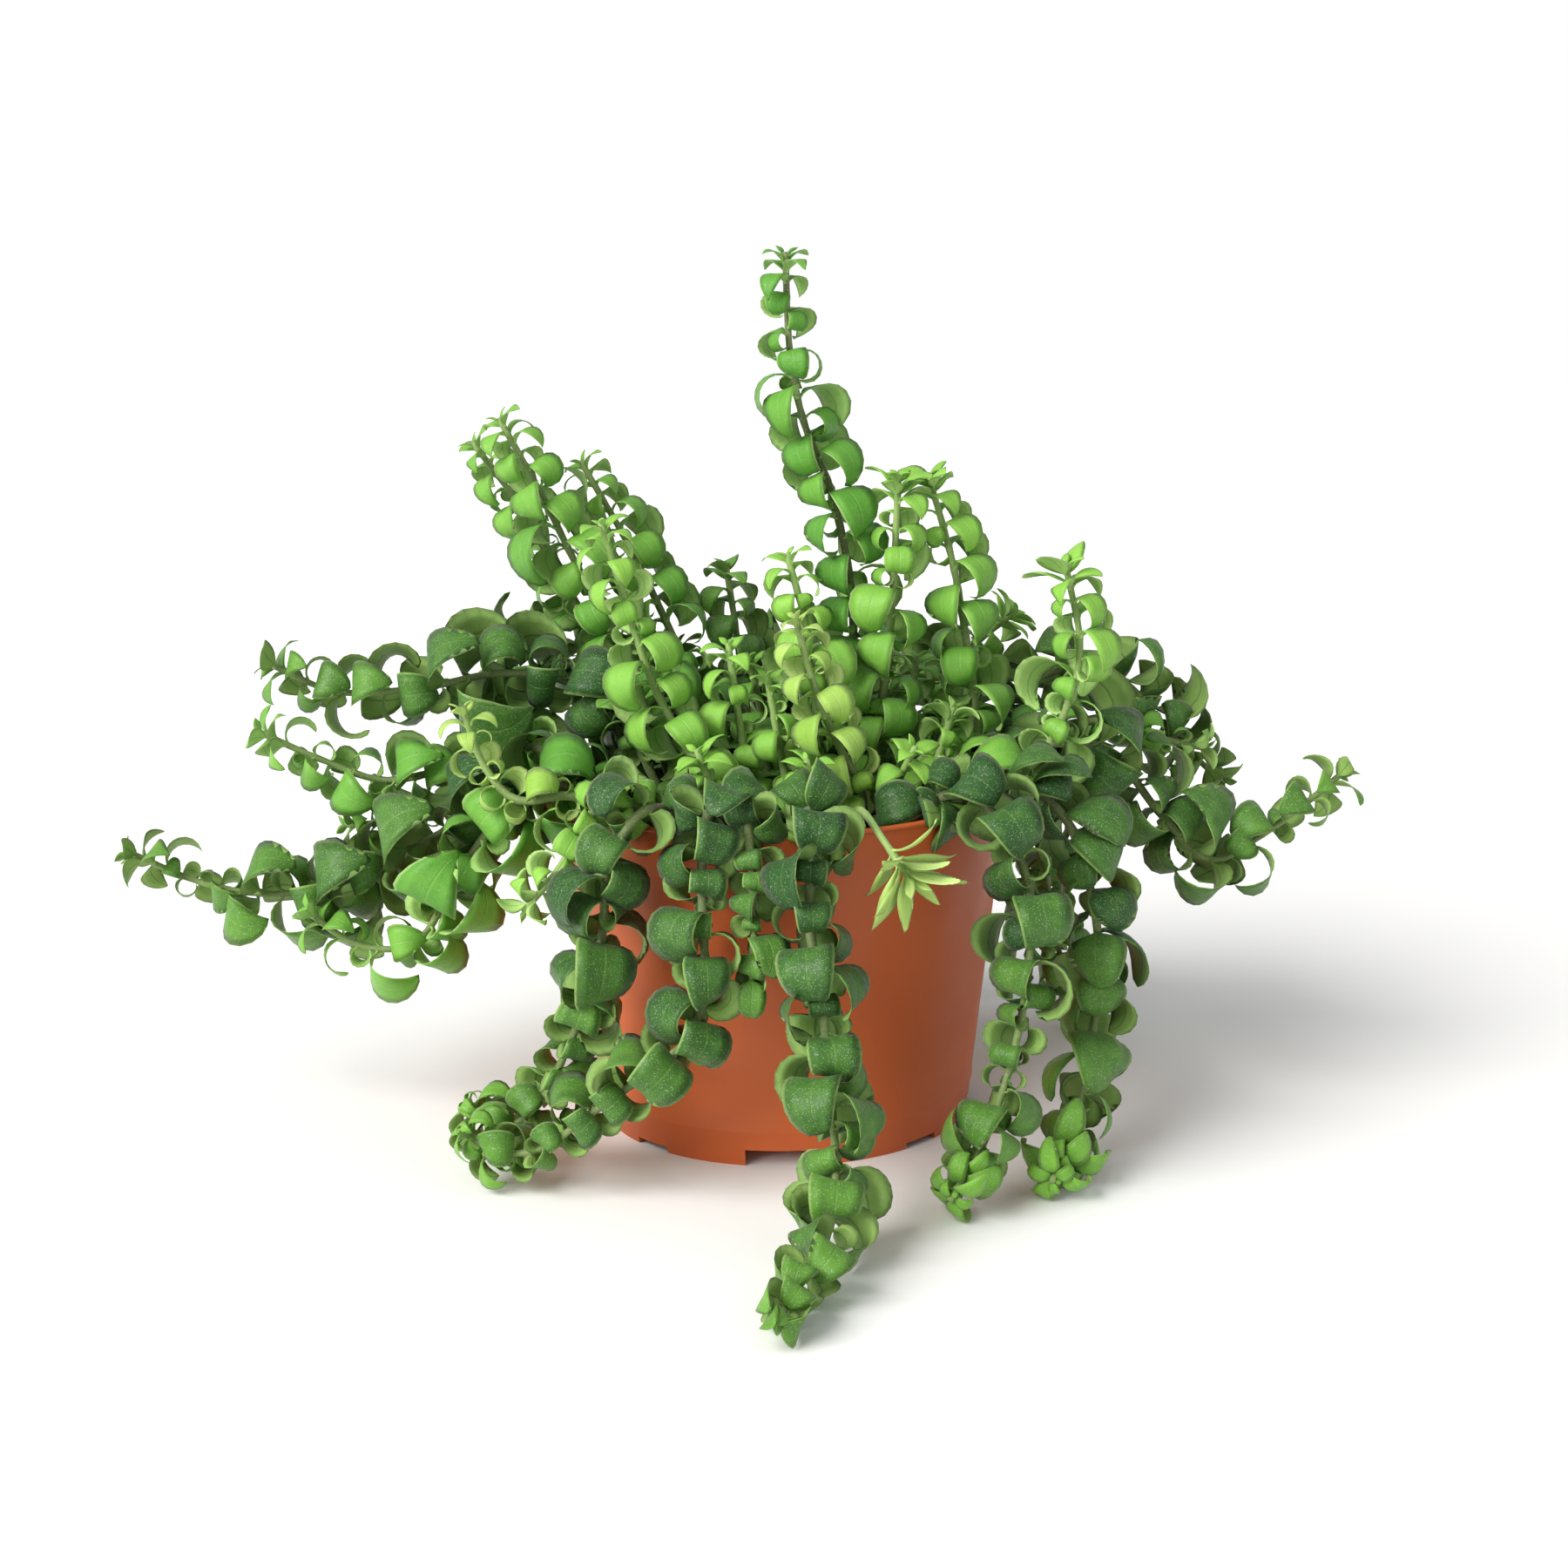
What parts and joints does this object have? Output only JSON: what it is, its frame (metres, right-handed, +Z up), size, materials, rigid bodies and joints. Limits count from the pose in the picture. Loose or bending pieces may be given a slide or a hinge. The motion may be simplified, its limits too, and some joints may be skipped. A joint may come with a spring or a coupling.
{
  "type": "potted lipstick plant",
  "caption": "Curly-leaved lipstick plant in a round plastic nursery pot, with upright, arching and trailing shoots rooted in potting soil.",
  "frame": {"origin": "middle of the whole object's footprint box, on the surface that the pot stands on; the pot's axis is at x 0.0151, y 0.0345", "axes": "+Z up; -Y towards the front, where the longest trailing shoot lies on the surface; +X to the right seen from the front"},
  "size_m": [0.4064, 0.332, 0.283],
  "materials": {
    "terracotta_plastic": "satin moulded plastic, terracotta orange",
    "soil": "dark, rough, moist potting soil",
    "leaf_mature": "satin dark green leaf with a fine pale bloom",
    "leaf_young": "glossy fresh green leaf",
    "leaf_pale": "pale yellow-green new leaf with fine hairs"
  },
  "bodies": {
    "root": {"arch_back_a": "leaf_mature", "arch_back_b": "leaf_mature", "arch_back_left": "leaf_mature", "arch_left_a": "leaf_mature", "arch_left_b": "leaf_young", "arch_left_c": "leaf_mature", "arch_left_d": "leaf_young", "arch_left_e": "leaf_young", "arch_left_f": "leaf_pale", "arch_left_g": "leaf_young", "arch_right_a": "leaf_young", "arch_right_b": "leaf_mature", "arch_right_c": "leaf_young", "crown_front_a": "leaf_mature", "crown_front_b": "leaf_young", "crown_front_c": "leaf_young", "crown_left_a": "leaf_mature", "crown_left_b": "leaf_mature", "crown_right_a": "leaf_young", "crown_right_b": "leaf_mature", "nursery_pot": "terracotta_plastic", "soil": "soil", "trail_back_a": "leaf_mature", "trail_back_b": "leaf_mature", "trail_back_c": "leaf_mature", "trail_back_d": "leaf_mature", "trail_front_a": "leaf_mature", "trail_front_b": "leaf_mature", "trail_front_c": "leaf_pale", "trail_left_a": "leaf_mature", "trail_left_b": "leaf_mature", "trail_right_a": "leaf_mature", "trail_right_b": "leaf_mature", "upright_back_a": "leaf_mature", "upright_back_b": "leaf_young", "upright_back_c": "leaf_mature", "upright_back_d": "leaf_mature", "upright_centre_tall": "leaf_young", "upright_front_a": "leaf_pale", "upright_front_b": "leaf_young", "upright_front_c": "leaf_young", "upright_front_d": "leaf_young", "upright_left_a": "leaf_mature", "upright_left_b": "leaf_mature", "upright_left_c": "leaf_mature", "upright_left_d": "leaf_young", "upright_left_e": "leaf_mature", "upright_middle_a": "leaf_young", "upright_middle_b": "leaf_mature", "upright_middle_c": "leaf_mature", "upright_right_a": "leaf_young", "upright_right_b": "leaf_young", "upright_right_c": "leaf_young"}
  },
  "joints": []
}
